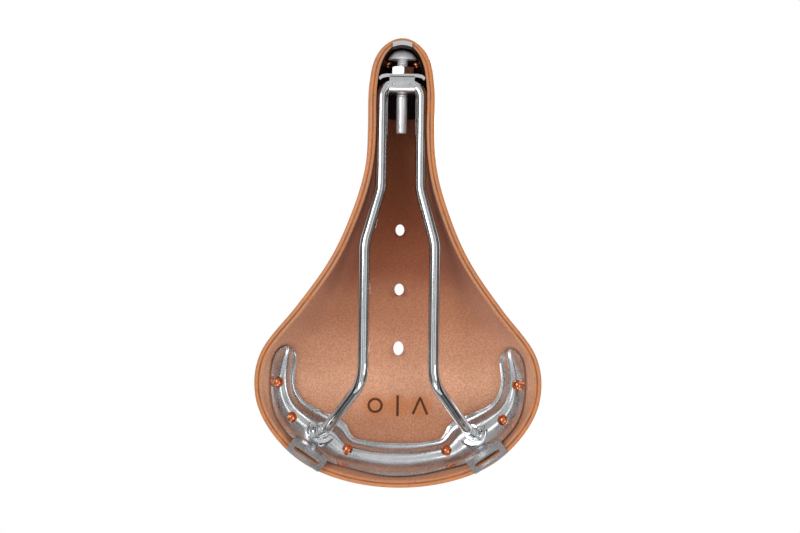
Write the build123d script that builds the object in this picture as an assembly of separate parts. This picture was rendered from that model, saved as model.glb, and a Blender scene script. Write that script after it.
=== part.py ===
from build123d import *
from math import atan2, cos, degrees, hypot, pi, radians, sin, sqrt
import os

# Tensioned leather bicycle saddle. All sizes are in millimetres.
# +X points forward to the nose, +Y to the left, +Z up. The origin is midway between the two
# straight clamp runs of the seat rail, level with the rail's centre line.

# ---- Driving dimensions -------------------------------------------------------------------
SADDLE_LENGTH = 275.0
SADDLE_WIDTH = 175.0
NOSE_TIP_X = 166.5
LEATHER_THICKNESS = 4.6
NOSE_LEATHER_THICKNESS = 3.6
FIT_GAP = 0.3

RAIL_DIAMETER = 7.0
RAIL_SPACING = 42.0
NOSE_RAIL_SPACING = 23.8
RAIL_NOSE_RISE = 20.0

PLATE_THICKNESS = 1.8
PLATE_CENTRE_X = -40.0
PLATE_HORN_ANGLE = 103.0
HORN_TAPER_ANGLE = 88.0
HORN_TAPER = 0.4
BEAD_HEIGHT = 2.4
LIP_HEIGHT = 1.3
SOCKET_X = -75.8
SOCKET_Y = 48.0

LOOP_X = -85.1
LOOP_Y = 67.6
LOOP_LENGTH = 24.8
LOOP_SLOT_LENGTH = 17.6
LOOP_SLOT_WIDTH = 4.4
LOOP_CORNER_RADIUS = 3.0
LOOP_REACH = 6.0

REAR_RIVET_SHANK = 4.4
REAR_RIVET_TAIL = 6.8
REAR_RIVET_HEAD = 11.0
NOSE_RIVET_SHANK = 3.2
NOSE_RIVET_TAIL = 5.0
NOSE_RIVET_HEAD = 7.0

BOLT_RISE = 8.0
BOLT_DIAMETER = 6.6
BOLT_HEAD_DIAMETER = 18.0
BOLT_APEX_X = 159.4
BOLT_END_X = 108.5
NUT_ACROSS_FLATS = 13.0
NUT_THICKNESS = 4.7
SHACKLE_WIDTH = 15.2
SHACKLE_THICKNESS = 2.3
SHACKLE_WING_SPAN = 28.4
NOSE_PIECE_THICKNESS = 1.2
NOSE_PIECE_REAR_X = 118.0
NOSE_LIP_X = 164.2
NOSE_LIP_RADIUS = 15.2
NOSE_LIP_SPAN = 11.8

# ---- Worked out from the driving dimensions -----------------------------------------------
HALF_LENGTH = SADDLE_LENGTH / 2
MIDDLE_X = NOSE_TIP_X - HALF_LENGTH
LENGTH_SHARE = SADDLE_LENGTH / 275.0
WIDTH_SHARE = SADDLE_WIDTH / 175.0
RAIL_RADIUS = RAIL_DIAMETER / 2
RAIL_BAR_X = NOSE_TIP_X - 28.35
BOLT_Z = RAIL_NOSE_RISE + BOLT_RISE
SHACKLE_BEND = RAIL_RADIUS + 0.15
SHACKLE_FRONT_X = RAIL_BAR_X + SHACKLE_BEND + SHACKLE_THICKNESS

# The leather's lower border is an ellipse whose half breadth changes along its length, from
# -1 at the tail to +1 at the nose tip.
BREADTH = [(-1, 134.8), (-0.8, 121), (-0.6, 108.7), (-0.4, 91.2), (-0.2, 64), (0, 43.2),
           (0.2, 30.9), (0.4, 24.7), (0.6, 25.7), (0.8, 33.5), (1, 43.9)]
BORDER_HEIGHT = [(-1, 33), (-0.85, 33), (-0.6, 28), (-0.4, 20), (-0.1, 9), (0.2, 4.5),
                 (0.5, 8), (0.8, 14.5), (1, 18)]
# Flare of the mid-length skirts, tuck of the nose skirts, and the two profile exponents.
FLARE = [(-0.65, 0), (-0.45, 0.09), (-0.28, 0.24), (-0.1, 0.31), (0.11, 0.24), (0.4, 0.1),
         (0.6, 0)]
TUCK = [(0.2, 0), (0.5, 0.08), (1, 0.08)]
PLAN_POWER = [(-1, 3.0), (-0.6, 2.7), (-0.1, 3.3), (0.3, 3.2), (1, 2.5)]
RISE_POWER = [(-1, 1.6), (-0.5, 1.8), (-0.1, 2.5), (0.3, 2.6), (1, 2.1)]
# Height of the leather's centre line along X.
CREST = [(-110, 71), (-88, 66.5), (-48, 61), (-15, 56), (26, 50.5), (70, 49.5), (115, 52),
         (142, 52.5), (166, 49)]
SPINE_MIDDLE = 49.0
SPINE_HALF = 97.0

# Radii of the cantle plate's edges about PLATE_CENTRE_X, by angle from straight back.
PLATE_INNER = [(0, 42.5), (23, 45), (35, 47.5), (46, 44.5), (56, 47), (65, 53), (74, 60.5),
               (84, 63.7), (103, 62.5)]
PLATE_OUTER = [(0, 61.6), (24, 63.3), (40, 68.5), (61, 76), (72, 78.6), (86, 78), (103, 74)]


def through(points, x, level_ends=True):
    """Value at x of a smooth curve through the points, held constant beyond both ends."""
    if x <= points[0][0]:
        return points[0][1]
    if x >= points[-1][0]:
        return points[-1][1]
    i = max(k for k in range(len(points) - 1) if points[k][0] <= x)

    def slope(k):
        at_end = k in (0, len(points) - 1)
        if at_end and level_ends:
            return 0
        before, after = points[max(k - 1, 0)], points[min(k + 1, len(points) - 1)]
        return (after[1] - before[1]) / (after[0] - before[0])

    (x0, y0), (x1, y1) = points[i], points[i + 1]
    h = x1 - x0
    u = (x - x0) / h
    start = y0 * (1 + 2 * u) * (1 - u) ** 2 + slope(i) * h * u * (1 - u) ** 2
    end = y1 * u * u * (3 - 2 * u) + slope(i + 1) * h * u * u * (u - 1)
    return start + end


def stretched(x):
    """Position along X of a feature that keeps its share of the length behind the nose tip."""
    return NOSE_TIP_X - (NOSE_TIP_X - x) * LENGTH_SHARE


def smooth_step(u):
    u = min(max(u, 0.0), 1.0)
    return u * u * (3 - 2 * u)


# ---- The leather's surface ----------------------------------------------------------------
# phi runs along the border from the nose tip (0) to the tail (pi). rise runs up each profile
# from the border (0) to the centre line (1). depth is how far inside the outer face it is.

def border_point(phi):
    a = cos(phi)
    widening = 1 + (WIDTH_SHARE - 1) * smooth_step((0.3 - a) / 0.6)
    return MIDDLE_X + HALF_LENGTH * a, through(BREADTH, a) * widening * sin(phi)


def crest(x):
    return through(CREST, NOSE_TIP_X - (NOSE_TIP_X - x) / LENGTH_SHARE, False)


def inset_border(phi, depth):
    """Plan point of the border, moved inwards along its normal."""
    step = 1e-4
    x0, y0 = border_point(phi - step)
    x1, y1 = border_point(phi + step)
    dx, dy = x1 - x0, y1 - y0
    size = hypot(dx, dy)
    x, y = border_point(phi)
    return x - depth * dy / size, y + depth * dx / size


def spine_x(phi):
    return stretched(SPINE_MIDDLE + SPINE_HALF * cos(phi))


def side_scale(a, rise):
    """How the flared or tucked skirts widen the profile at a height."""
    flare, tuck = through(FLARE, a), through(TUCK, a)
    return 1 - flare * (1 - (1 - rise) ** 2) - tuck * (1 - rise) ** 3 + 0.5 * tuck


def wall(phi):
    """Leather thickness, skived where it folds round the nose."""
    a = cos(phi)
    return LEATHER_THICKNESS + (NOSE_LEATHER_THICKNESS - LEATHER_THICKNESS) * smooth_step(
        (a - 0.9) / 0.1
    )


def profile_reach(a, rise):
    """Share of the way from the centre line to the border that a height stands at."""
    plan_power, rise_power = through(PLAN_POWER, a), through(RISE_POWER, a)
    return max(1 - rise ** rise_power, 0.0) ** (1 / plan_power)


def skin_point(phi, rise, depth):
    """Point of the leather's outer face, or of a surface at a depth inside it."""
    a = cos(phi)
    bx, by = inset_border(phi, depth)
    sx = spine_x(phi)
    reach = profile_reach(a, rise) * side_scale(a, rise)
    x, y = sx + (bx - sx) * reach, by * reach
    low = through(BORDER_HEIGHT, a)
    return Vector(x, y, low + (crest(x) - depth - low) * rise)


def skin_height(x, y, depth):
    """Height above a plan point (y not negative) of the surface at a depth."""
    low, high = 0.0, pi
    for _ in range(32):
        phi = (low + high) / 2
        bx, by = inset_border(phi, depth)
        sx = spine_x(phi)
        if (bx - sx) * y - by * (x - sx) > 0:
            low = phi
        else:
            high = phi
    bx, by = inset_border(phi, depth)
    share = hypot(x - sx, y) / hypot(bx - sx, by)
    a = cos(phi)
    bottom, top = 0.0, 1.0
    for _ in range(32):
        rise = (bottom + top) / 2
        if profile_reach(a, rise) * side_scale(a, rise) > share:
            bottom = rise
        else:
            top = rise
    low_z = through(BORDER_HEIGHT, a)
    return low_z + (crest(x) - depth - low_z) * rise


def skin_normal(x, y, depth):
    """Upward unit normal of the surface at a depth, above a plan point."""
    step = 0.4
    side = 1 if y >= 0 else -1
    slope_x = (skin_height(x + step, abs(y), depth) - skin_height(x - step, abs(y), depth)) / (
        2 * step
    )
    y0 = max(abs(y) - step, 0.0)
    slope_y = (skin_height(x, abs(y) + step, depth) - skin_height(x, y0, depth)) / (
        abs(y) + step - y0
    )
    return Vector(-slope_x, -slope_y * side, 1).normalized()


# ---- Solids through sections --------------------------------------------------------------

SITTING = (Align.CENTER, Align.CENTER, Align.MIN)


def section(outer, inner):
    """Closed wire round two rows of points that run side by side."""
    return Wire([
        Edge.make_spline(outer),
        Edge.make_line(outer[-1], inner[-1]),
        Edge.make_spline(inner[::-1]),
        Edge.make_line(inner[0], outer[0]),
    ])


def both_sides(half):
    return half + half.mirror(Plane.XZ)


def skin_solid(outer_extra, thickness, last_phi, sections, lowest_rise):
    """Half shell that follows the leather, from the nose tip round to last_phi."""
    steps = 8
    wires = []
    for i in range(sections + 1):
        phi = last_phi * i / sections
        low = lowest_rise(phi)
        rises = [low + (1 - low) * sin(pi / 2 * j / steps) for j in range(steps + 1)]
        depth = outer_extra if outer_extra == 0 else wall(phi) + outer_extra
        deeper = wall(phi) if thickness is None else depth + thickness
        wires.append(section(
            [skin_point(phi, r, depth) for r in rises],
            [skin_point(phi, r, deeper) for r in rises],
        ))
    return Solid.make_loft(wires)


def placed(shape, point, z_dir, x_dir=None):
    return Plane(origin=point, z_dir=z_dir, x_dir=x_dir).location * shape


def turned(points):
    """Solid of revolution about Z from (radius, z) points; a 3-item entry is an arc's middle."""
    edges = []
    last = points[0]
    middle = None
    for p in points[1:] + [points[0]]:
        if len(p) == 3:
            middle = p
            continue
        start, end = (last[0], 0, last[1]), (p[0], 0, p[1])
        if middle:
            edges.append(Edge.make_three_point_arc(start, (middle[0], 0, middle[1]), end))
        else:
            edges.append(Edge.make_line(start, end))
        last, middle = p, None
    return revolve(Face(Wire(edges)), Axis.Z, 360)


def dome_middle(radius, height, base, up=1):
    """Middle of the arc of a spherical dome on the axis, as an arc entry for turned."""
    sphere = (radius ** 2 + height ** 2) / (2 * height)
    half = atan2(radius, sphere - height) / 2
    return sphere * sin(half), base + up * (height - sphere * (1 - cos(half))), "arc"


# ---- Leather --------------------------------------------------------------------------------

VENT_HOLES = [(49.7, 7.0, 5.4), (13.0, 7.1, 5.7), (-23.6, 8.6, 6.3)]


def leather_seat():
    half = skin_solid(0, None, pi, 20, lambda phi: 0.0)
    seat = both_sides(half)
    for x, length, width in VENT_HOLES:
        seat -= Pos(stretched(x), 0, 20) * extrude(Ellipse(length / 2, width / 2), 60)
    for x, y in rear_rivet_places():
        seat -= rivet_bore(rear_seat(x, y), REAR_RIVET_SHANK, REAR_RIVET_HEAD)
    for place in nose_rivet_places():
        seat -= rivet_bore(nose_seat(*place), NOSE_RIVET_SHANK, NOSE_RIVET_HEAD)
    return seat


# ---- Cantle plate ---------------------------------------------------------------------------

REAR_RIVETS = [(-44.8, 74.3), (-66.9, 65.7), (-87.5, 31.2)]


def rear_rivet_places():
    places = [(stretched(x), y * WIDTH_SHARE) for x, y in REAR_RIVETS]
    return [(x, side * y) for side in (1, -1) for x, y in places]


PLATE_DEPTH = LEATHER_THICKNESS + FIT_GAP


def pressing(v):
    """How far the plate is pressed down at a share v of the way from inner to outer edge."""
    bead = BEAD_HEIGHT * smooth_step(1 - abs(v - 0.38) / 0.27)
    inner_lip = LIP_HEIGHT * smooth_step(1 - v / 0.1)
    outer_lip = LIP_HEIGHT * smooth_step(1 - (1 - v) / 0.1)
    return bead + inner_lip + outer_lip


def plate_share(x, y):
    """Share of the way from the plate's inner to its outer edge at a plan point."""
    back, out = (stretched(PLATE_CENTRE_X) - x) / LENGTH_SHARE, abs(y) / WIDTH_SHARE
    angle = degrees(atan2(out, back))
    inner, outer = through(PLATE_INNER, angle), through(PLATE_OUTER, angle)
    return (hypot(back, out) - inner) / (outer - inner)


def plate_stack(x, y):
    """Distance along the leather's normal from its outer face to the plate's underside."""
    lean = skin_normal(x, y, PLATE_DEPTH).Z
    return PLATE_DEPTH + (pressing(plate_share(x, y)) + PLATE_THICKNESS) * lean


def plate_point(angle, v):
    """Upper face of the plate: angle in degrees from straight back, v across the band."""
    inner, outer = through(PLATE_INNER, abs(angle)), through(PLATE_OUTER, abs(angle))
    rounding = (abs(angle) - HORN_TAPER_ANGLE) / (PLATE_HORN_ANGLE - HORN_TAPER_ANGLE)
    share = 1 - HORN_TAPER * max(rounding, 0) ** 2
    size = (inner + outer) / 2 + (v - 0.5) * (outer - inner) * share
    x = stretched(PLATE_CENTRE_X - size * cos(radians(angle)))
    y = size * sin(radians(angle)) * WIDTH_SHARE
    return Vector(x, y, skin_height(x, abs(y), PLATE_DEPTH) - pressing(v))


def plate_section(angle):
    steps = 12
    upper = [plate_point(angle, j / steps) for j in range(steps + 1)]
    return section(upper, [p - Vector(0, 0, PLATE_THICKNESS) for p in upper])


def loop_profile(low_edge):
    """Cross-section of a bag loop: (distance in from its outer edge, height) points."""
    line = [(-10.2, 41.0), (-9.0, 39.4), (-7.6, 32.4), (0.0, low_edge)]
    half = PLATE_THICKNESS / 2
    upper, lower = [], []
    for i, (d, z) in enumerate(line):
        d0, z0 = line[max(i - 1, 0)]
        d1, z1 = line[min(i + 1, len(line) - 1)]
        size = hypot(d1 - d0, z1 - z0)
        nx, nz = -(z1 - z0) / size, (d1 - d0) / size
        upper.append((d + nx * half, z + nz * half))
        lower.append((d - nx * half, z - nz * half))
    return upper + lower[::-1]


def largest(shape):
    return max(shape.solids(), key=lambda solid: solid.volume)


def bag_loop(plate):
    """Strap loop at the left rear corner, bent down under the leather's border."""
    corner = Vector(stretched(LOOP_X), LOOP_Y * WIDTH_SHARE, 0)
    along = Vector(-0.561, -0.827, 0)
    out = Vector(-0.827, 0.561, 0)
    low_edge = 25.9
    points = [corner + out * d + Vector(0, 0, z) for d, z in loop_profile(low_edge)]
    strip = Face(Wire.make_polygon(points, close=True))
    loop = extrude(strip, LOOP_LENGTH, dir=along)
    outline = RectangleRounded(LOOP_LENGTH, 2 * LOOP_REACH, LOOP_CORNER_RADIUS)
    centre = corner + along * (LOOP_LENGTH / 2) + out * (1.0 - LOOP_REACH)
    loop &= placed(extrude(outline, 80), centre, Vector(0, 0, 1), along)
    slope = (Vector(0, 0, low_edge - 32.4) + out * 7.6).normalized()
    middle = corner + along * (LOOP_LENGTH / 2) - out * 3.2
    middle += Vector(0, 0, low_edge + 3.2 * (32.4 - low_edge) / 7.6)
    cutter = extrude(SlotOverall(LOOP_SLOT_LENGTH, LOOP_SLOT_WIDTH), 4, both=True)
    return largest(loop - placed(cutter, middle, along.cross(slope), along) - plate)


def socket_frame(side):
    """Centre of a rail socket on the plate's underside, and the plate's normal there."""
    x, y = stretched(SOCKET_X), SOCKET_Y * WIDTH_SHARE
    point, normal = rear_seat(x, side * y)
    return point - normal * plate_stack(x, y), normal


def cantle_plate():
    sections = 36
    angles = [PLATE_HORN_ANGLE * (2 * i / sections - 1) for i in range(sections + 1)]
    plate = Solid.make_loft([plate_section(angle) for angle in angles])
    cutters = []
    for side in (1, -1):
        point, normal = socket_frame(side)
        cutters.append(placed(Cylinder(RAIL_RADIUS + 0.15, 16), point, normal))
    for x, y in rear_rivet_places():
        point, normal = rear_seat(x, y)
        under = point - normal * (plate_stack(x, y) - 0.15)
        cutters.append(placed(Cylinder(REAR_RIVET_SHANK / 2 + 0.1, 30), point, normal))
        spot = Cylinder(REAR_RIVET_TAIL / 2 + 0.05, 3, align=SITTING)
        cutters.append(placed(spot, under, normal * -1))
    return plate.cut(*cutters)


# ---- Rivets ---------------------------------------------------------------------------------

NOSE_RIVETS = [(22, 0.62), (48, 0.62)]


def rear_seat(x, y):
    """Point on the leather's outer face over a rear rivet, and the face's normal."""
    normal = skin_normal(x, y, PLATE_DEPTH)
    base = Vector(x, y, skin_height(x, abs(y), PLATE_DEPTH))
    return base + normal * PLATE_DEPTH, normal


def nose_rivet_places():
    return [(side, angle, rise) for side in (1, -1) for angle, rise in NOSE_RIVETS] + [(0, 0, 0.9)]


def nose_seat(side, angle, rise):
    """Point on the leather's outer face over a nose rivet, and the face's normal."""
    phi = radians(angle)
    point = skin_point(phi, rise, 0)
    across = skin_point(phi + 0.01, rise, 0) - skin_point(phi - 0.01, rise, 0)
    up = skin_point(phi, rise + 0.01, 0) - skin_point(phi, rise - 0.01, 0)
    normal = up.cross(across).normalized()
    if normal.Z < 0:
        normal = normal * -1
    if side < 0:
        point = Vector(point.X, -point.Y, point.Z)
        normal = Vector(normal.X, -normal.Y, normal.Z)
    return point, normal


def nose_stack(side, angle, rise):
    """Distance along a nose rivet from the leather's outer face to the tail's seat."""
    phi = radians(angle)
    normal = nose_seat(1, angle, rise)[1]
    inside = wall(phi) + FIT_GAP + NOSE_PIECE_THICKNESS
    slack = 0.3 + 0.6 * smooth_step((rise - 0.7) / 0.2)
    return (skin_point(phi, rise, 0) - skin_point(phi, rise, inside)).dot(normal) + slack


def rivet_bore(seat, shank, head):
    point, normal = seat
    hole = Cylinder(shank / 2 + 0.35, 24) + Pos(0, 0, 3.3) * Cylinder(head / 2 + 0.3, 8)
    return placed(hole, point, normal)


def rivet(seat, grip, shank, head, tail):
    """Solid rivet: a low dome on the leather, a round tail dome under the plate."""
    point, normal = seat
    head_height, tail_height = head * 0.16, tail * 0.36
    head_r, shank_r, tail_r = head / 2, shank / 2, tail / 2
    floor = -0.65
    shape = turned([
        (0, floor + 0.4 + head_height),
        dome_middle(head_r, head_height, floor + 0.4),
        (head_r, floor + 0.4),
        (head_r, floor),
        (shank_r, floor),
        (shank_r, -grip),
        (tail_r, -grip),
        (tail_r, -grip - 0.4),
        dome_middle(tail_r, tail_height, -grip - 0.4, -1),
        (0, -grip - 0.4 - tail_height),
    ])
    return placed(shape, point, normal)


# ---- Seat rail and its collars --------------------------------------------------------------

def rail_corners():
    """Corners of the left half of the rail, from the nose bar to the cantle socket."""
    near, far = NOSE_RAIL_SPACING / 2, RAIL_SPACING / 2
    point, normal = socket_frame(1)
    return [
        (Vector(RAIL_BAR_X, near, RAIL_NOSE_RISE), 8.4),
        (Vector(stretched(74.0), near, 6.8), 26),
        (Vector(stretched(41.0), far, 0), 26),
        (Vector(stretched(-41.5), far, 0), 20),
        (point - normal * 13.5, 11),
    ]


def rounded_path(points, radii):
    """Straight runs joined by tangent arcs; radii has one entry per inner corner."""
    edges = []
    start = points[0]
    for before, corner, after, radius in zip(points, points[1:], points[2:], radii):
        a, b = (before - corner).normalized(), (after - corner).normalized()
        half = radians(a.get_angle(b)) / 2
        cut = radius * cos(half) / sin(half)
        middle = corner + (a + b).normalized() * (radius / sin(half) - radius)
        first, second = corner + a * cut, corner + b * cut
        edges += [Edge.make_line(start, first), Edge.make_three_point_arc(first, middle, second)]
        start = second
    return Wire(edges + [Edge.make_line(start, points[-1])])


def seat_rail(radius=RAIL_RADIUS):
    """The bent rod in one piece; a larger radius gives the space it needs."""
    corners = rail_corners()
    point, normal = socket_frame(1)
    top = point + normal * PLATE_THICKNESS * 0.9
    left = [p for p, _ in corners] + [top]
    right = [Vector(p.X, -p.Y, p.Z) for p in left[::-1]]
    radii = [r for _, r in corners]
    path = rounded_path(right + left, radii[::-1] + radii)
    profile = Plane(origin=right[0], z_dir=right[1] - right[0]) * Circle(radius)
    return sweep(profile, path=path)


def rail_collar(plate):
    """Stepped ring round the left rail end, shaped to the underside of the plate."""
    inner = RAIL_RADIUS + 0.12
    ring = turned([
        (inner, 0.9), (9.2, 0.9), (9.2, -0.9), (8.8, -1.3), (8.3, -0.9), (7.8, -0.3),
        (5.8, -0.3), (5.2, -0.8), (5.1, -2.7), (4.6, -3.2), (inner, -3.2),
    ])
    point, normal = socket_frame(1)
    return largest(placed(ring, point, normal) - plate)


# ---- Nose: piece, shackle, bolt and nut -----------------------------------------------------

def nose_piece():
    """Pressed cup inside the leather's nose, with a lip under the tip of the border."""
    def lowest(phi):
        low = through(BORDER_HEIGHT, cos(phi))
        bottom = 19.4 + 8.0 * smooth_step(phi / radians(34))
        return max(bottom - low, 0) / (50 - low)

    cup = both_sides(skin_solid(FIT_GAP, NOSE_PIECE_THICKNESS, pi, 20, lowest))
    cup = cup & Pos(NOSE_PIECE_REAR_X, 0, 0) * Box(
        80, 60, 140, align=(Align.MIN, Align.CENTER, Align.CENTER)
    )
    web = Circle(NOSE_LIP_RADIUS - 2.9) - Circle(NOSE_LIP_RADIUS - 4.1)
    web &= Pos(NOSE_LIP_RADIUS, 0) * Rectangle(10, 13)
    piece = cup + Pos(NOSE_LIP_X - NOSE_LIP_RADIUS, 0, 17.0) * extrude(web, 4.8)
    bores = []
    for place in nose_rivet_places():
        point, normal = nose_seat(*place)
        bores.append(placed(Cylinder(NOSE_RIVET_SHANK / 2 + 0.1, 24), point, normal))
    return piece.cut(*bores)


def nose_trim():
    """Bright crescent lip in front of the nose piece, under the tip of the leather."""
    ring = Circle(NOSE_LIP_RADIUS) - Pos(-0.9, 0) * Circle(NOSE_LIP_RADIUS - 1.75)
    ring &= Pos(NOSE_LIP_RADIUS, 0) * Rectangle(10, NOSE_LIP_SPAN)
    return Pos(NOSE_LIP_X - NOSE_LIP_RADIUS, 0, 16.2) * extrude(ring, 1.3)


def shackle():
    """Folded strap that hooks under the rail's nose bar, with side wings to guide it."""
    top = BOLT_Z + 6.2
    outer = SHACKLE_BEND + SHACKLE_THICKNESS
    legs = Rectangle(2 * outer, top - RAIL_NOSE_RISE, align=(Align.CENTER, Align.MIN))
    legs -= Rectangle(2 * SHACKLE_BEND, 40, align=(Align.CENTER, Align.MIN))
    bend = (Circle(outer) - Circle(SHACKLE_BEND)) & Pos(0, -25) * Rectangle(50, 50)
    profile = legs + bend
    plane = Plane(origin=(RAIL_BAR_X, SHACKLE_WIDTH / 2, RAIL_NOSE_RISE), x_dir=(1, 0, 0),
                  z_dir=(0, -1, 0))
    strap = extrude(plane * profile, SHACKLE_WIDTH)
    front, span = SHACKLE_FRONT_X, SHACKLE_WING_SPAN / 2
    back = front - 2.0
    outline = [(front, 0), (front, 9.5), (front - 0.6, 12.4), (front - 2.2, span),
               (back - 1.9, span - 0.9), (back - 0.6, 11.9), (back, 9.2), (back, 0)]
    half = extrude(Face(Wire.make_polygon([(x, y, 16.5) for x, y in outline], close=True)), 9.0,
                   dir=(0, 0, 1))
    strap = strap + half + half.mirror(Plane.XZ)
    strap -= Pos(RAIL_BAR_X, 0, BOLT_Z) * Rot(0, 90, 0) * Cylinder(BOLT_DIAMETER / 2 + 0.4, 40)
    for side in (1, -1):
        low = RAIL_NOSE_RISE - outer
        strap -= Pos(RAIL_BAR_X - 0.4, side * 5.3, low - 0.5) * Sphere(1.1)
    return largest(strap - seat_rail(SHACKLE_BEND))


def tension_bolt():
    """Domed head that presses the nose piece forwards, threaded shank and plain tail."""
    apex = BOLT_APEX_X
    head_r, shank_r = BOLT_HEAD_DIAMETER / 2, BOLT_DIAMETER / 2
    rim = apex - 5.8
    pitch, depth = 1.25, 0.55
    profile = [(0, apex), dome_middle(head_r, apex - rim, rim), (head_r, rim),
               (head_r - 0.5, rim - 0.3), (shank_r + 2.6, rim + 1.3), (shank_r, rim + 0.6)]
    x = rim - 0.6
    while x > 131.5:
        profile += [(shank_r, x), (shank_r - depth, x - pitch / 2)]
        x -= pitch
    profile += [(shank_r, x), (shank_r, BOLT_END_X + 0.5), (shank_r - 0.5, BOLT_END_X),
                (0, BOLT_END_X)]
    bolt = turned(profile)
    return Pos(0, 0, BOLT_Z) * Rot(0, 90, 0) * bolt


def tension_nut():
    """Hexagon nut that bears on the shackle's front leg."""
    hexagon = RegularPolygon(NUT_ACROSS_FLATS / 2, 6, major_radius=False)
    nut = extrude(Rot(0, 0, 8) * hexagon, NUT_THICKNESS)
    corner = NUT_ACROSS_FLATS / sqrt(3)
    bevel = turned([(0, 0), (corner - 0.7, 0), (corner, 0.6), (corner, NUT_THICKNESS - 0.6),
                    (corner - 0.7, NUT_THICKNESS), (0, NUT_THICKNESS)])
    nut = (nut & bevel) - Cylinder(BOLT_DIAMETER / 2 + 0.2, 30)
    return Pos(SHACKLE_FRONT_X + 0.1, 0, BOLT_Z) * Rot(0, 90, 0) * nut


# ---- Everything -----------------------------------------------------------------------------

def pieces():
    yield "leather_seat", leather_seat()
    plate = cantle_plate()
    yield "cantle_plate", plate
    yield "seat_rail", seat_rail()
    loop, collar = bag_loop(plate), rail_collar(plate)
    yield "bag_loop_left", loop
    yield "bag_loop_right", loop.mirror(Plane.XZ)
    yield "rail_collar_left", collar
    yield "rail_collar_right", collar.mirror(Plane.XZ)
    yield "nose_piece", nose_piece()
    yield "nose_trim", nose_trim()
    yield "shackle", shackle()
    yield "tension_bolt", tension_bolt()
    yield "tension_nut", tension_nut()
    for i, (x, y) in enumerate(rear_rivet_places()):
        yield f"rear_rivet_{i + 1}", rivet(rear_seat(x, y), plate_stack(x, y), REAR_RIVET_SHANK,
                                           REAR_RIVET_HEAD, REAR_RIVET_TAIL)
    for i, place in enumerate(nose_rivet_places()):
        yield f"nose_rivet_{i + 1}", rivet(nose_seat(*place), nose_stack(*place),
                                           NOSE_RIVET_SHANK, NOSE_RIVET_HEAD, NOSE_RIVET_TAIL)


os.makedirs("parts", exist_ok=True)
for name, shape in pieces():
    export_step(shape, f"parts/{name}.step")
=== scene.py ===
"""Looks for the leather bicycle saddle: moulded leather, plated steel, copper rivets and a studio.

Every length is in metres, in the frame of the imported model: +X forward to the nose, +Z up.
"""

import logging
import math
from dataclasses import dataclass
from enum import Enum
from typing import Sequence

import bmesh
import bpy
from mathutils import Matrix, Vector

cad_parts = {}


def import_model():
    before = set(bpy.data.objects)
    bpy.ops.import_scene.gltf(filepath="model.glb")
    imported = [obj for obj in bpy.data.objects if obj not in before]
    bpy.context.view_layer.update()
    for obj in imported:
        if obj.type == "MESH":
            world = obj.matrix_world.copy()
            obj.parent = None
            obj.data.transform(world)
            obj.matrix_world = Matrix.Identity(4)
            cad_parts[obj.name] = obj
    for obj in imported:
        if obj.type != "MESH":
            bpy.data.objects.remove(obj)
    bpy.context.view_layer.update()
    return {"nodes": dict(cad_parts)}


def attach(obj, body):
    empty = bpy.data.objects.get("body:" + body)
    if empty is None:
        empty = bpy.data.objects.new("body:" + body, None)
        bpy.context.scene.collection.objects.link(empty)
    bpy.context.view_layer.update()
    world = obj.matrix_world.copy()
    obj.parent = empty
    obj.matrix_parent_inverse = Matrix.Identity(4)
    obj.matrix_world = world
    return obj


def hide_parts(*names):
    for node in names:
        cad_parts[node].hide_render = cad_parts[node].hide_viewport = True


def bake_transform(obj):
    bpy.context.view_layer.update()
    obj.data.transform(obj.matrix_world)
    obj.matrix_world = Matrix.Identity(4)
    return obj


log = logging.getLogger("saddle")
MM = 0.001
VIEW_CENTRE = (0.0272, 0.0003, 0.025)
Points = Sequence[tuple[float, float]]


class Region(Enum):
    """Material regions of the leather, in the order of its material slots."""

    OUTSIDE = 0
    FLESH = 1
    EDGE = 2
    SEAM = 3
    CORE = 4


@dataclass(frozen=True)
class LeatherSizes:
    """Driving sizes of the leather shell, in millimetres."""

    length: float = 275.0
    nose_x: float = 166.5
    wall: float = 4.6
    nose_wall: float = 3.6
    spine_middle: float = 49.0
    spine_half: float = 97.0
    breadth: Points = (
        (-1, 134.8), (-0.8, 121), (-0.6, 108.7), (-0.4, 91.2), (-0.2, 64), (0, 43.2),
        (0.2, 30.9), (0.4, 24.7), (0.6, 25.7), (0.8, 33.5), (1, 43.9))
    border: Points = (
        (-1, 33), (-0.85, 33), (-0.6, 28), (-0.4, 20), (-0.1, 9), (0.2, 4.5),
        (0.5, 8), (0.8, 14.5), (1, 18))
    flare: Points = (
        (-0.65, 0), (-0.45, 0.09), (-0.28, 0.24), (-0.1, 0.31), (0.11, 0.24), (0.4, 0.1), (0.6, 0))
    tuck: Points = ((0.2, 0), (0.5, 0.08), (1, 0.08))
    plan_power: Points = ((-1, 3.0), (-0.6, 2.7), (-0.1, 3.3), (0.3, 3.2), (1, 2.5))
    rise_power: Points = ((-1, 1.6), (-0.5, 1.8), (-0.1, 2.5), (0.3, 2.6), (1, 2.1))
    crest: Points = (
        (-110, 71), (-88, 66.5), (-48, 61), (-15, 56), (26, 50.5), (70, 49.5), (115, 52),
        (142, 52.5), (166, 49))
    vents: Sequence[tuple[float, float, float]] = (
        (49.7, 7.0, 5.4), (13.0, 7.1, 5.7), (-23.6, 8.6, 6.3))


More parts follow.
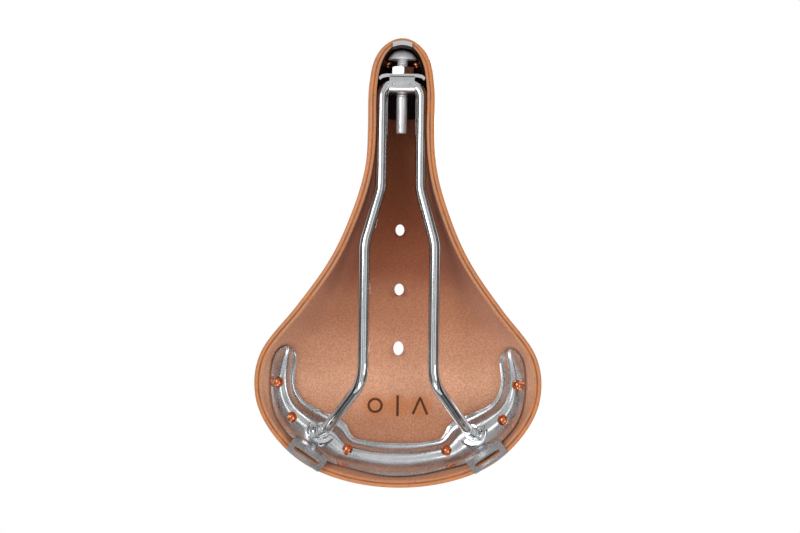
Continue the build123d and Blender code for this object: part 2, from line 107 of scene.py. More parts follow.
def through(points: Points, x: float, level_ends: bool = True) -> float:
    """Value at x of a smooth curve through points, held constant beyond both ends.

    Args:
        points: (x, value) pairs in order of x.
        x: Where to read the curve.
        level_ends: Whether the curve leaves its end points level.

    Returns:
        The curve's value.
    """
    if x <= points[0][0]:
        return points[0][1]
    if x >= points[-1][0]:
        return points[-1][1]
    i = max(k for k in range(len(points) - 1) if points[k][0] <= x)

    def slope(k: int) -> float:
        if k in (0, len(points) - 1) and level_ends:
            return 0.0
        before, after = points[max(k - 1, 0)], points[min(k + 1, len(points) - 1)]
        return (after[1] - before[1]) / (after[0] - before[0])

    (x0, y0), (x1, y1) = points[i], points[i + 1]
    h = x1 - x0
    u = (x - x0) / h
    start = y0 * (1 + 2 * u) * (1 - u) ** 2 + slope(i) * h * u * (1 - u) ** 2
    return start + y1 * u * u * (3 - 2 * u) + slope(i + 1) * h * u * u * (u - 1)


def smooth_step(u: float) -> float:
    """0 below 0, 1 above 1 and smooth between."""
    u = min(max(u, 0.0), 1.0)
    return u * u * (3 - 2 * u)


def linear(red: int, green: int, blue: int) -> tuple[float, float, float, float]:
    """Linear colour of an 8-bit screen colour."""
    channels = []
    for value in (red, green, blue):
        c = value / 255
        channels.append(c / 12.92 if c <= 0.04045 else ((c + 0.055) / 1.055) ** 2.4)
    return channels[0], channels[1], channels[2], 1.0


class LeatherShape:
    """The leather's surface as a formula: the same one that its CAD solid follows."""

    def __init__(self, sizes: LeatherSizes) -> None:
        self.s = sizes
        self.half = sizes.length / 2
        self.middle = sizes.nose_x - self.half

    def border(self, phi: float) -> tuple[float, float]:
        """Plan point of the lower border, from the nose tip (0) round to the tail (pi)."""
        a = math.cos(phi)
        return self.middle + self.half * a, through(self.s.breadth, a) * math.sin(phi)

    def inset(self, phi: float, depth: float) -> tuple[float, float]:
        """Plan point of the border, moved inwards along its normal by depth."""
        step = 1e-4
        x0, y0 = self.border(phi - step)
        x1, y1 = self.border(phi + step)
        size = math.hypot(x1 - x0, y1 - y0)
        x, y = self.border(phi)
        return x - depth * (y1 - y0) / size, y + depth * (x1 - x0) / size

    def wall(self, phi: float) -> float:
        """Leather thickness, skived where it folds round the nose."""
        share = smooth_step((math.cos(phi) - 0.9) / 0.1)
        return self.s.wall + (self.s.nose_wall - self.s.wall) * share

    def point(self, phi: float, rise: float, depth: float) -> Vector:
        """Point at a share of the rise from border to centre line, at a depth inside the face.

        Args:
            phi: Place along the border.
            rise: 0 at the border, 1 at the centre line.
            depth: Millimetres inside the outer face.

        Returns:
            The point, in metres.
        """
        a = math.cos(phi)
        bx, by = self.inset(phi, depth)
        sx = self.s.spine_middle + self.s.spine_half * a
        plan, up = through(self.s.plan_power, a), through(self.s.rise_power, a)
        flare, tuck = through(self.s.flare, a), through(self.s.tuck, a)
        reach = max(1 - rise ** up, 0.0) ** (1 / plan)
        reach *= 1 - flare * (1 - (1 - rise) ** 2) - tuck * (1 - rise) ** 3 + 0.5 * tuck
        x, y = sx + (bx - sx) * reach, by * reach
        low = through(self.s.border, a)
        z = low + (through(self.s.crest, x, False) - depth - low) * rise
        return Vector((x, y, z)) * MM

    def height(self, x: float, y: float, depth: float) -> float:
        """Height in millimetres above a plan point in millimetres, at a depth."""
        low, high = 0.0, math.pi
        for _ in range(32):
            phi = (low + high) / 2
            bx, by = self.inset(phi, depth)
            sx = self.s.spine_middle + self.s.spine_half * math.cos(phi)
            if (bx - sx) * abs(y) - by * (x - sx) > 0:
                low = phi
            else:
                high = phi
        bottom, top = 0.0, 1.0
        target = math.hypot(x - sx, y)
        for _ in range(32):
            rise = (bottom + top) / 2
            p = self.point(phi, rise, depth) / MM
            if math.hypot(p.x - sx, p.y) > target:
                bottom = rise
            else:
                top = rise
        return self.point(phi, rise, depth).z / MM


class Graph:
    """A small helper for wiring procedural materials."""

    def __init__(self, name: str) -> None:
        self.material = bpy.data.materials.new(name)
        self.material.use_nodes = True
        self.tree = self.material.node_tree
        self.shader = self.tree.nodes["Principled BSDF"]
        self.place = self.tree.nodes.new("ShaderNodeTexCoord").outputs["Object"]

    def node(self, kind: str, values: dict | None = None, **settings: object) -> bpy.types.Node:
        """Adds a node, with socket values by name and settings as attributes."""
        made = self.tree.nodes.new(kind)
        for key, value in settings.items():
            setattr(made, key, value)
        for key, value in (values or {}).items():
            made.inputs[key].default_value = value
        return made

    def link(self, start: bpy.types.NodeSocket, end: bpy.types.NodeSocket) -> None:
        """Links two sockets."""
        self.tree.links.new(start, end)

    def noise(self, scale: float, detail: float = 3.0, rough: float = 0.55
              ) -> bpy.types.NodeSocket:
        """Noise value at a scale per metre."""
        made = self.node("ShaderNodeTexNoise",
                         {"Scale": scale, "Detail": detail, "Roughness": rough})
        self.link(self.place, made.inputs["Vector"])
        return made.outputs["Fac"]

    def cells(self, scale: float, feature: str = "F1") -> bpy.types.NodeSocket:
        """Distance in a cell pattern at a scale per metre."""
        made = self.node("ShaderNodeTexVoronoi", {"Scale": scale}, feature=feature)
        self.link(self.place, made.inputs["Vector"])
        return made.outputs["Distance"]

    def spread(self, value: bpy.types.NodeSocket, low: float, high: float,
               to_low: float = 0.0, to_high: float = 1.0) -> bpy.types.NodeSocket:
        """Smoothly maps low..high of a value to to_low..to_high."""
        made = self.node("ShaderNodeMapRange", {
            "From Min": low, "From Max": high, "To Min": to_low, "To Max": to_high},
            interpolation_type="SMOOTHSTEP")
        self.link(value, made.inputs["Value"])
        return made.outputs["Result"]

    def mix(self, share: bpy.types.NodeSocket | float, a: object, b: object,
            blend: str = "MIX") -> bpy.types.NodeSocket:
        """Mixes two colours, each a socket or a value."""
        made = self.node("ShaderNodeMix", data_type="RGBA", blend_type=blend)
        factor, first, second = made.inputs[0], made.inputs[6], made.inputs[7]
        for socket, value in ((factor, share), (first, a), (second, b)):
            if isinstance(value, bpy.types.NodeSocket):
                self.link(value, socket)
            else:
                socket.default_value = value
        return made.outputs[2]

    def bump(self, height: bpy.types.NodeSocket, strength: float, distance: float,
             after: bpy.types.NodeSocket | None = None) -> bpy.types.NodeSocket:
        """Bump normal from a height, in metres."""
        made = self.node("ShaderNodeBump", {"Strength": strength, "Distance": distance})
        self.link(height, made.inputs["Height"])
        if after is not None:
            self.link(after, made.inputs["Normal"])
        return made.outputs["Normal"]

    def axis(self, name: str) -> bpy.types.NodeSocket:
        """One component of the object coordinates."""
        made = self.node("ShaderNodeSeparateXYZ")
        self.link(self.place, made.inputs[0])
        return made.outputs[name]

    def ramp(self, axis: str, stops: Sequence[tuple[float, tuple[int, int, int]]]
             ) -> bpy.types.NodeSocket:
        """Colour along one axis, from (millimetres, screen colour) stops."""
        first, last = stops[0][0], stops[-1][0]
        share = self.node("ShaderNodeMapRange",
                          {"From Min": first * MM, "From Max": last * MM})
        self.link(self.axis(axis), share.inputs["Value"])
        made = self.node("ShaderNodeValToRGB")
        band = made.color_ramp
        band.interpolation = "EASE"
        while len(band.elements) < len(stops):
            band.elements.new(0.5)
        for element, (at, colour) in zip(band.elements, stops):
            element.position = (at - first) / (last - first)
            element.color = linear(*colour)
        self.link(share.outputs["Result"], made.inputs["Fac"])
        return made.outputs["Color"]

    def near(self, centre: Sequence[float], inner: float, outer: float) -> bpy.types.NodeSocket:
        """1 within inner of a point, 0 beyond outer."""
        made = self.node("ShaderNodeVectorMath", operation="DISTANCE")
        self.link(self.place, made.inputs[0])
        made.inputs[1].default_value = centre
        return self.spread(made.outputs["Value"], inner, outer, 1.0, 0.0)


@dataclass(frozen=True)
class MetalFinish:
    """A metal's look: screen colour, roughness, and the scale and depth of its surface."""

    name: str
    colour: tuple[int, int, int]
    rough: float
    grain: float
    depth: float
    hammered: bool = False
    metallic: float = 1.0

    def build(self) -> bpy.types.Material:
        """Makes the material.

        Returns:
            A procedural metal with uneven roughness and fine surface relief.
        """
        g = Graph(self.name)
        base = linear(*self.colour)
        shade = g.noise(90, 4)
        darker = tuple(c * 0.86 for c in base[:3]) + (1.0,)
        g.link(g.mix(g.spread(shade, 0.3, 0.7), darker, base), g.shader.inputs["Base Color"])
        g.link(g.spread(g.noise(130, 3), 0.3, 0.75, self.rough * 0.85, self.rough * 1.2),
               g.shader.inputs["Roughness"])
        g.shader.inputs["Metallic"].default_value = self.metallic
        height = g.cells(self.grain, "SMOOTH_F1") if self.hammered else g.noise(self.grain, 4)
        g.link(g.bump(height, 0.5, self.depth), g.shader.inputs["Normal"])
        return g.material


RAIL_CHROME = MetalFinish("rail_chrome_look", (226, 228, 230), 0.10, 260, 0.00003)
PLATE_CHROME = MetalFinish("plate_chrome_look", (216, 218, 220), 0.27, 70, 0.00002)
ZINC = MetalFinish("zinc_look", (215, 216, 218), 0.22, 500, 0.00004)
# The nose piece is chrome: this dark colour is painted shade and painted dark reflection for it,
# deep under the nose.
NOSE_PAINTED_SHADE = MetalFinish("nose_painted_shade_look", (44, 34, 32), 0.35, 300, 0.00005, metallic=0.4)
# The tension bolt is zinc, made paler and less metallic than zinc so that it shows bright in the
# dark nose: a painted highlight.
BOLT_ZINC_PAINTED_HIGHLIGHT = MetalFinish("bolt_zinc_painted_highlight_look", (244, 244, 246), 0.3, 500, 0.00004, metallic=0.45)
COPPER = MetalFinish("copper_look", (222, 130, 88), 0.22, 620, 0.00035, hammered=True)


@dataclass(frozen=True)
class LeatherFinish:
    """The colours of the leather, as screen colours."""

    honey: tuple[int, int, int] = (196, 124, 70)
    honey_dark: tuple[int, int, int] = (158, 88, 44)
    # Shade of the flesh side along X, in millimetres: its darkening toward the nose is painted
    # shade of the deep nose.
    flesh: Sequence[tuple[float, tuple[int, int, int]]] = (
        (-110, (200, 142, 108)), (-88, (198, 140, 108)), (-71, (198, 140, 108)),
        (-45, (226, 170, 138)), (-24, (208, 150, 118)), (0, (188, 128, 96)),
        (30, (150, 86, 58)), (58, (138, 74, 42)), (110, (148, 86, 56)))
    shadow: tuple[int, int, int] = (110, 62, 40)
    edge: tuple[int, int, int] = (188, 122, 76)
    raw: tuple[int, int, int] = (184, 130, 94)
    edge_line: tuple[int, int, int] = (128, 72, 42)

    def outside(self) -> bpy.types.Material:
        """Smooth grain side: honey, burnished, with fine pores and soft creases."""
        g = Graph("leather_outside")
        cloud = g.spread(g.noise(18, 4, 0.6), 0.32, 0.7)
        colour = g.mix(cloud, linear(*self.honey_dark), linear(*self.honey))
        pores = g.spread(g.cells(1900), 0.05, 0.35)
        colour = g.mix(pores, g.mix(0.35, colour, linear(*self.honey_dark)), colour)
        g.link(colour, g.shader.inputs["Base Color"])
        g.link(g.spread(g.noise(60, 4), 0.3, 0.7, 0.34, 0.52), g.shader.inputs["Roughness"])
        g.shader.inputs["Coat Weight"].default_value = 0.15
        g.shader.inputs["Coat Roughness"].default_value = 0.35
        grain = g.bump(g.cells(1500, "SMOOTH_F1"), 0.35, 0.00012)
        g.link(g.bump(g.noise(120, 5), 0.3, 0.0003, grain), g.shader.inputs["Normal"])
        return g.material

    def flesh_side(self, marks: "BurnMarks") -> bpy.types.Material:
        """Open flesh side: short suede nap, palest near the tail, with painted shade darkening it
        toward the deep nose.
        """
        g = Graph("leather_flesh")
        # The ramp along X carries painted shade, dark toward the nose.
        colour = g.ramp("X", self.flesh)
        cloud = g.spread(g.noise(26, 5, 0.65), 0.3, 0.72)
        colour = g.mix(cloud, g.mix(0.16, colour, linear(*self.shadow)), colour)
        nap = g.spread(g.noise(950, 4, 0.75), 0.38, 0.62)
        colour = g.mix(nap, g.mix(0.38, colour, linear(*self.shadow)), colour)
        fibre = g.spread(g.noise(900, 4, 0.6), 0.56, 0.74, 0.0, 0.10)
        colour = g.mix(fibre, colour, (0.9, 0.72, 0.55, 1))
        for centre in marks.centres():
            halo = g.near(centre, 0.003, 0.0115)
            halo = g.spread(halo, 0.0, 1.0, 0.0, 0.55)
            colour = g.mix(halo, colour, linear(186, 108, 52))
        g.link(colour, g.shader.inputs["Base Color"])
        g.shader.inputs["Roughness"].default_value = 0.88
        g.shader.inputs["Sheen Weight"].default_value = 0.1
        g.shader.inputs["Sheen Roughness"].default_value = 0.6
        g.shader.inputs["Specular IOR Level"].default_value = 0.25
        nap_bump = g.bump(g.noise(2400, 4, 0.7), 0.6, 0.00018)
        g.link(g.bump(g.noise(240, 5), 0.35, 0.0004, nap_bump), g.shader.inputs["Normal"])
        return g.material

    def cut_edge(self) -> list[bpy.types.Material]:
        """Burnished cut edge: a smooth dyed half, a dark line and a rougher raw half."""
        made = []
        for name, light, dark, rough, relief in (
                ("leather_edge_dyed", self.edge, self.honey, 0.42, 0.00008),
                ("leather_edge_line", self.edge_line, self.honey_dark, 0.6, 0.00020),
                ("leather_edge_raw", self.raw, self.edge, 0.7, 0.00022)):
            g = Graph(name)
            patch = g.spread(g.noise(95, 4), 0.38, 0.66)
            colour = g.mix(patch, linear(*light), linear(*dark))
            fleck = g.spread(g.noise(800, 4, 0.65), 0.52, 0.7, 0.0, 0.6)
            g.link(g.mix(fleck, colour, linear(*self.edge_line)), g.shader.inputs["Base Color"])
            g.link(g.spread(g.noise(300, 3), 0.3, 0.7, rough * 0.85, rough * 1.15),
                   g.shader.inputs["Roughness"])
            g.link(g.bump(g.noise(1100, 4), 0.5, relief), g.shader.inputs["Normal"])
            made.append(g.material)
        return made


class LeatherSeat:
    """The moulded leather, built as one closed shell with rounded cut edges."""

    # The cut edge in millimetres: how far it starts up, bulges down and is grooved.
    EDGE_STEPS = 9
    EDGE_LIFT = 0.55
    EDGE_BULGE = 0.75
    GROOVE_DEPTH = 0.30

    def __init__(self, shape: LeatherShape, stations: int = 168, rows: int = 44) -> None:
        self.shape = shape
        self.stations = stations
        self.rows = rows

    def rings(self, phi: float) -> list[tuple[Vector, Region]]:
        """One profile, from the outer centre line down, round the edge and up inside."""
        shape, wall = self.shape, self.shape.wall(phi)
        rises = [math.sin(math.pi / 2 * j / self.rows) ** 1.15 for j in range(self.rows + 1)]
        outside = [(shape.point(phi, r, 0), Region.OUTSIDE) for r in reversed(rises[1:])]
        inside = [(shape.point(phi, r, wall), Region.FLESH) for r in rises[1:]]
        edge = []
        for k in range(self.EDGE_STEPS + 1):
            share = k / self.EDGE_STEPS
            p = shape.point(phi, 0, wall * share)
            bulge = self.EDGE_BULGE * (1 - abs(2 * share - 1) ** 2.6)
            groove = self.GROOVE_DEPTH * math.exp(-((share - 0.52) / 0.07) ** 2)
            p.z += (self.EDGE_LIFT - bulge + groove) * MM
            kind = Region.EDGE if k < 4 else Region.SEAM if k < 6 else Region.CORE
            edge.append((p, kind))
        return outside + edge + inside

    def build(self, finish: LeatherFinish, marks: "BurnMarks") -> bpy.types.Object:
        """Makes the leather object.

        Args:
            finish: Its colours.
            marks: The burn marks, whose halos tint the flesh side.

        Returns:
            The leather, with its three materials.
        """
        bm = bmesh.new()
        for side in (1, -1):
            grid = []
            for i in range(self.stations + 1):
                ring = self.rings(math.pi * i / self.stations)
                grid.append([(bm.verts.new((p.x, p.y * side, p.z)), kind) for p, kind in ring])
            for before, after in zip(grid, grid[1:]):
                for j in range(len(before) - 1):
                    corners = [before[j][0], before[j + 1][0], after[j + 1][0], after[j][0]]
                    face = bm.faces.new(corners if side > 0 else corners[::-1])
                    kind = before[j + 1][1] if before[j][1] is Region.OUTSIDE else before[j][1]
                    if before[j + 1][1] is Region.FLESH:
                        kind = Region.FLESH
                    face.material_index = kind.value
                    face.smooth = True
        bmesh.ops.remove_doubles(bm, verts=bm.verts, dist=1e-6)
        bmesh.ops.dissolve_degenerate(bm, edges=bm.edges, dist=1e-6)
        bmesh.ops.recalc_face_normals(bm, faces=bm.faces)
        mesh = bpy.data.meshes.new("leather")
        bm.to_mesh(mesh)
        bm.free()
        seat = bpy.data.objects.new("leather", mesh)
        bpy.context.collection.objects.link(seat)
        for made in (finish.outside(), finish.flesh_side(marks), *finish.cut_edge()):
            mesh.materials.append(made)
        self.cut_vents(seat)
        log.info("leather: %d vertices", len(seat.data.vertices))
        return seat

    def cut_vents(self, seat: bpy.types.Object) -> None:
        """Cuts the oval vent holes through the leather."""
        for x, length, width in self.shape.s.vents:
            bm = bmesh.new()
            bmesh.ops.create_cone(bm, cap_ends=True, segments=48, radius1=0.5, radius2=0.5,
                                  depth=60)
            bmesh.ops.scale(bm, vec=(length, width, 1), verts=bm.verts)
            bmesh.ops.translate(bm, vec=(x, 0, 50), verts=bm.verts)
            bmesh.ops.scale(bm, vec=(MM, MM, MM), verts=bm.verts)
            mesh = bpy.data.meshes.new("vent_cutter")
            bm.to_mesh(mesh)
            bm.free()
            for material in seat.data.materials:
                mesh.materials.append(material)
            for face in mesh.polygons:
                face.material_index = Region.EDGE.value
            cutter = bpy.data.objects.new("vent_cutter", mesh)
            bpy.context.collection.objects.link(cutter)
            cut = seat.modifiers.new("vent", "BOOLEAN")
            cut.object = cutter
            cut.operation = "DIFFERENCE"
            cut.solver = "EXACT"
            bpy.context.view_layer.update()
            graph = bpy.context.evaluated_depsgraph_get()
            done = bpy.data.meshes.new_from_object(seat.evaluated_get(graph))
            seat.modifiers.clear()
            seat.data = done
            bpy.data.objects.remove(cutter)


@dataclass(frozen=True)
class PlateSizes:
    """Driving sizes of the cantle plate, in millimetres and degrees."""

    centre_x: float = -40.0
    horn_angle: float = 104.5
    round_from: float = 94.5
    gap: float = 0.3
    thickness: float = 1.8
    bead: float = 2.4
    lip: float = 1.3
    inner: Points = (
        (0, 42.5), (23, 45), (35, 47.5), (46, 44.5), (56, 47), (65, 53), (74, 60.5), (84, 63.7),
        (103, 62.5))
    outer: Points = (
        (0, 61.6), (24, 63.3), (40, 68.5), (61, 76), (72, 78.6), (86, 78), (103, 76.5))


class CantlePlate:
    """The pressed rear plate, with the rounded horn tips of the real pressing."""

    def __init__(self, shape: LeatherShape, sizes: PlateSizes) -> None:
        self.shape = shape
        self.s = sizes

    def pressing(self, v: float) -> float:
        """How far the plate is pressed down at a share v from its inner to its outer edge."""
        bead = self.s.bead * smooth_step(1 - abs(v - 0.38) / 0.27)
        inner = smooth_step(1 - v / 0.1)
        outer = smooth_step(1 - (1 - v) / 0.1)
        return bead + self.s.lip * (inner + outer)

    def point(self, angle: float, v: float) -> Vector:
        """Point of the upper face, for an angle in degrees (not negative) and a share v."""
        s = self.s
        inner, outer = through(s.inner, angle), through(s.outer, angle)
        turn = max((angle - s.round_from) / (s.horn_angle - s.round_from), 0.0)
        share = math.sqrt(max(1 - turn ** 2.2, 0.004))
        size = (inner + outer) / 2 + (v - 0.5) * (outer - inner) * share
        x = s.centre_x - size * math.cos(math.radians(angle))
        y = size * math.sin(math.radians(angle))
        z = self.shape.height(x, y, self.shape.s.wall + s.gap) - self.pressing(v)
        return Vector((x, y, z)) * MM

    def angles(self) -> list[float]:
        """Stations from the middle to a horn tip, closer together where the tip rounds."""
        s = self.s
        steps, ends = 46, 14
        turn = s.horn_angle - s.round_from
        return ([s.round_from * i / steps for i in range(steps + 1)]
                + [s.round_from + turn * math.sin(math.pi / 2 * i / ends)
                   for i in range(1, ends + 1)])

    def build(self) -> bpy.types.Object:
        """Makes the plate as one closed shell.

        Returns:
            The plate, with its bevelled edges and finish.
        """
        rows = 24
        half = [[self.point(a, j / rows) for j in range(rows + 1)] for a in self.angles()]
        mirrored = [[Vector((p.x, -p.y, p.z)) for p in row] for row in half[:0:-1]]
        drop = Vector((0, 0, self.s.thickness * MM))
        bm = bmesh.new()
        rings = []
        for row in mirrored + half:
            loop = row + [p - drop for p in row[::-1]]
            rings.append([bm.verts.new(p) for p in loop])
        for before, after in zip(rings, rings[1:]):
            for j in range(len(before)):
                k = (j + 1) % len(before)
                bm.faces.new((before[j], before[k], after[k], after[j])).smooth = True
        bm.faces.new(rings[0])
        bm.faces.new(rings[-1][::-1])
        bmesh.ops.recalc_face_normals(bm, faces=bm.faces)
        mesh = bpy.data.meshes.new("rear_plate")
        bm.to_mesh(mesh)
        bm.free()
        plate = bpy.data.objects.new("rear_plate", mesh)
        bpy.context.collection.objects.link(plate)
        bevel = plate.modifiers.new("edges", "BEVEL")
        bevel.width = 0.35 * MM
        bevel.segments = 2
        bevel.limit_method = "ANGLE"
        bevel.angle_limit = math.radians(40)
        bevel.harden_normals = True
        mesh.materials.append(bpy.data.materials[PLATE_CHROME.name])
        return plate


@dataclass(frozen=True)
class BurnMarks:
    """Three plain shapes branded into the flesh side near the tail: a ring, a bar, a chevron."""

    shape: LeatherShape
    middle_x: float = -59.5
    spacing: float = 14.0
    height: float = 13.0
    width: float = 1.5

    def centres(self) -> list[tuple[float, float, float]]:
        """Centre of each mark on the flesh side, in metres."""
        found = []
        for k in (-1, 0, 1):
            y = k * self.spacing
            z = self.shape.height(self.middle_x, y, self.shape.s.wall)
            found.append((self.middle_x * MM, y * MM, z * MM))
        return found

    def strokes(self) -> list[tuple[str, list[tuple[float, float]]]]:
        """Each mark's centre line as plan points about its middle, in millimetres."""
        half = self.height / 2
        radius = half * 0.62
        turns = [2 * math.pi * i / 40 for i in range(41)]
        ring = [(radius * math.cos(t), radius * math.sin(t)) for t in turns]
        bar = [(half * (2 * i / 16 - 1), 0.0) for i in range(17)]
        shares = [i / 24 - 0.5 for i in range(25)]
        chevron = [(half * (1 - 2 * abs(u) * 2) * 0.8, 9.0 * u) for u in shares]
        return [("burn_ring", ring), ("burn_bar", bar), ("burn_chevron", chevron)]

    def build(self) -> list[bpy.types.Object]:
        """Makes the marks as thin skins a hair below the flesh side.

        Returns:
            One object for each mark.
        """
        g = Graph("burnt_leather")
        char = g.spread(g.noise(1400, 4), 0.35, 0.65)
        g.link(g.mix(char, linear(52, 22, 12), linear(104, 52, 26)), g.shader.inputs["Base Color"])
        g.shader.inputs["Roughness"].default_value = 0.8
        g.link(g.bump(g.noise(1600, 4), 0.6, 0.0002), g.shader.inputs["Normal"])
        made = []
        for (name, line), k in zip(self.strokes(), (-1, 0, 1)):
            bm = bmesh.new()
            rails = []
            for i, (x, y) in enumerate(line):
                x0, y0 = line[max(i - 1, 0)]
                x1, y1 = line[min(i + 1, len(line) - 1)]
                size = math.hypot(x1 - x0, y1 - y0) or 1.0
                wide = self.width / 2 * (0.85 + 0.3 * abs(math.sin(i * 1.7 + k)))
                pair = []
                for sign in (1, -1):
                    px = self.middle_x + x - sign * wide * (y1 - y0) / size
                    py = k * self.spacing + y + sign * wide * (x1 - x0) / size
                    pz = self.shape.height(px, py, self.shape.s.wall) - 0.06
                    pair.append(bm.verts.new((px * MM, py * MM, pz * MM)))
                rails.append(pair)
            for (a, b), (c, d) in zip(rails, rails[1:]):
                bm.faces.new((a, b, d, c)).smooth = True
            mesh = bpy.data.meshes.new(name)
            bm.to_mesh(mesh)
            bm.free()
            mark = bpy.data.objects.new(name, mesh)
            bpy.context.collection.objects.link(mark)
            mesh.materials.append(g.material)
            made.append(mark)
        return made


class Hardware:
    """The CAD pieces of metal: each gets a finish."""

    FINISHES = (
        ("seat_rail", RAIL_CHROME), ("rail_collar", RAIL_CHROME), ("cantle_plate", PLATE_CHROME),
        # The nose piece gets painted shade: a dark finish in place of its chrome.
        ("bag_loop", PLATE_CHROME), ("nose_piece", NOSE_PAINTED_SHADE), ("nose_trim", ZINC),
        # The tension bolt's paler zinc is a painted highlight.
        ("shackle", ZINC), ("tension_nut", ZINC), ("tension_bolt", BOLT_ZINC_PAINTED_HIGHLIGHT),
        ("rear_rivet", COPPER), ("nose_rivet", COPPER))

    def __init__(self, nodes: dict[str, bpy.types.Object]) -> None:
        self.nodes = nodes

    def finish(self) -> None:
        """Gives every metal node its procedural material."""
        made: dict[str, bpy.types.Material] = {}
        for start, look in self.FINISHES:
            if look.name not in made:
                made[look.name] = look.build()
            for name, node in self.nodes.items():
                if name.startswith(start):
                    self.paint(node, made[look.name])

    @staticmethod
    def paint(node: bpy.types.Object, material: bpy.types.Material) -> None:
        """Puts one material on every slot of a node."""
        node.data.materials.clear()
        node.data.materials.append(material)


@dataclass(frozen=True)
class Lamp:
    """A softbox: where it hangs, what it points at, its size in metres and its power."""

    name: str
    place: tuple[float, float, float]
    size: float
    power: float

    def hang(self, target: Vector) -> None:
        """Adds the light to the scene."""
        data = bpy.data.lights.new(self.name, "AREA")
        data.shape = "DISK"
        data.size = self.size
        data.energy = self.power
        lamp = bpy.data.objects.new(self.name, data)
        lamp.location = self.place
        lamp.rotation_euler = (target - Vector(self.place)).to_track_quat("-Z", "Y").to_euler()
        bpy.context.collection.objects.link(lamp)


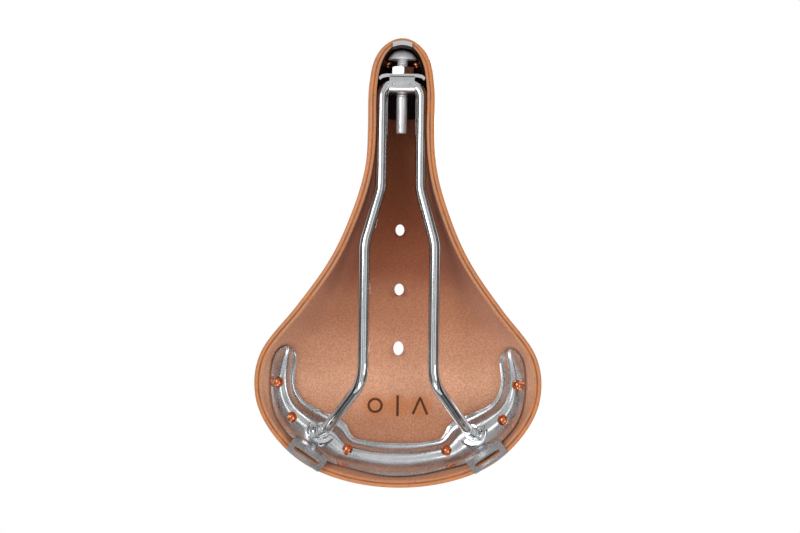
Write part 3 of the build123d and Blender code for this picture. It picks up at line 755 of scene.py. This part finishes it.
class Studio:
    """White surroundings with dark gaps, softboxes, a pale floor and the camera."""

    LAMPS = (
        Lamp("key_box", (0.45, -0.75, -1.25), 0.9, 9.0),
        Lamp("fill_box", (-0.5, 0.95, -1.05), 0.8, 5.0),
        Lamp("tail_box", (-1.3, -0.1, -0.6), 0.5, 3.0),
        Lamp("top_box", (0.2, 0.4, 1.4), 1.0, 12.0))
    # Each card's near and far edge as (y, z); it has a twin on the other side.
    FLAGS = (
        ((0.20, -1.0), (0.36, -1.0)), ((0.75, -0.7), (1.7, -0.7)), ((1.8, -0.6), (1.8, 0.25)))
    FLOOR_HALF = 40.0
    FLOOR_Z = -2.4
    VIEW_WIDTH = 0.4878
    DISTANCE = 1.5
    ROLL = 0.8

    def __init__(self, centre: Vector) -> None:
        self.centre = centre

    def build(self) -> None:
        """Builds the surroundings."""
        self.world()
        for lamp in self.LAMPS:
            lamp.hang(self.centre)
        self.floor()
        self.flags()
        self.camera()
        scene = bpy.context.scene
        scene.view_settings.view_transform = "Standard"

    def world(self) -> None:
        """White above and below, with darker bands between that the metal can mirror."""
        world = bpy.data.worlds.new("studio")
        bpy.context.scene.world = world
        world.use_nodes = True
        tree = world.node_tree
        place = tree.nodes.new("ShaderNodeTexCoord")
        split = tree.nodes.new("ShaderNodeSeparateXYZ")
        ramp = tree.nodes.new("ShaderNodeValToRGB")
        # The ramp reads the direction's height, from straight down (0) to straight up (1).
        lift = tree.nodes.new("ShaderNodeMapRange")
        lift.inputs["From Min"].default_value = -1.0
        tree.links.new(place.outputs["Generated"], split.inputs[0])
        tree.links.new(split.outputs["Z"], lift.inputs["Value"])
        tree.links.new(lift.outputs["Result"], ramp.inputs["Fac"])
        stops = ((0.0, 0.92), (0.10, 0.80), (0.16, 0.30), (0.30, 0.62), (0.44, 0.50),
                 (0.52, 0.10), (0.60, 0.16), (0.70, 0.85), (0.86, 1.0), (1.0, 1.0))
        band = ramp.color_ramp
        while len(band.elements) < len(stops):
            band.elements.new(0.5)
        for element, (at, grey) in zip(band.elements, stops):
            element.position = at
            element.color = (grey, grey, grey, 1)
        tree.links.new(ramp.outputs["Color"], tree.nodes["Background"].inputs["Color"])
        tree.nodes["Background"].inputs["Strength"].default_value = 1.0

    def floor(self) -> None:
        """A plain pale floor well below the camera."""
        mesh = bpy.data.meshes.new("floor")
        half, low = self.FLOOR_HALF, self.FLOOR_Z
        corners = [(-half, -half, low), (half, -half, low), (half, half, low), (-half, half, low)]
        mesh.from_pydata(corners, [], [(0, 1, 2, 3)])
        floor = bpy.data.objects.new("floor", mesh)
        bpy.context.collection.objects.link(floor)
        g = Graph("floor_paint")
        shade = g.spread(g.noise(2, 2), 0.3, 0.7)
        g.link(g.mix(shade, (0.80, 0.80, 0.80, 1), (0.84, 0.84, 0.84, 1)),
               g.shader.inputs["Base Color"])
        g.shader.inputs["Roughness"].default_value = 0.9
        mesh.materials.append(g.material)

    def flags(self) -> None:
        """Dark cards beside the lens that only the metal mirrors, for the rails' dark lines."""
        g = Graph("flag_cloth")
        weave = g.spread(g.noise(40, 2), 0.3, 0.7)
        g.link(g.mix(weave, (0.02, 0.02, 0.02, 1), (0.04, 0.04, 0.04, 1)),
               g.shader.inputs["Base Color"])
        g.shader.inputs["Roughness"].default_value = 1.0
        for i, ((near, low), (far, high)) in enumerate(self.FLAGS):
            for side in (1, -1):
                mesh = bpy.data.meshes.new(f"flag_{i}_{side}")
                a, b = side * near, side * far
                corners = [(-2.0, a, low), (2.0, a, low), (2.0, b, high), (-2.0, b, high)]
                mesh.from_pydata(corners, [], [(0, 1, 2, 3)])
                mesh.materials.append(g.material)
                flag = bpy.data.objects.new(mesh.name, mesh)
                bpy.context.collection.objects.link(flag)
                flag.visible_camera = False
                flag.visible_diffuse = False
                flag.visible_shadow = False
                flag.visible_transmission = False

    def camera(self) -> None:
        """Looks straight up from below, with the nose at the top of the picture."""
        data = bpy.data.cameras.new("camera")
        data.lens = data.sensor_width * self.DISTANCE / self.VIEW_WIDTH
        data.clip_start = 0.05
        camera = bpy.data.objects.new("camera", data)
        camera.location = (self.centre.x, self.centre.y, self.centre.z - self.DISTANCE)
        upright = Matrix(((0, 1, 0), (1, 0, 0), (0, 0, -1))).to_4x4()
        tilted = upright @ Matrix.Rotation(math.radians(self.ROLL), 4, "Z")
        camera.rotation_euler = tilted.to_euler()
        bpy.context.collection.objects.link(camera)
        bpy.context.scene.camera = camera


def main() -> None:
    """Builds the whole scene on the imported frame."""
    logging.basicConfig(level=logging.INFO, format="%(name)s: %(message)s")
    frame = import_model()
    shape = LeatherShape(LeatherSizes())
    marks = BurnMarks(shape)
    seat = LeatherSeat(shape).build(LeatherFinish(), marks)
    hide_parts("leather_seat")
    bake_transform(seat)
    for mark in marks.build():
        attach(mark, "frame")
    Hardware(frame["nodes"]).finish()
    plate = CantlePlate(shape, PlateSizes()).build()
    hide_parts("cantle_plate")
    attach(plate, "frame")
    Studio(Vector(VIEW_CENTRE)).build()


if __name__ == "__main__":
    main()
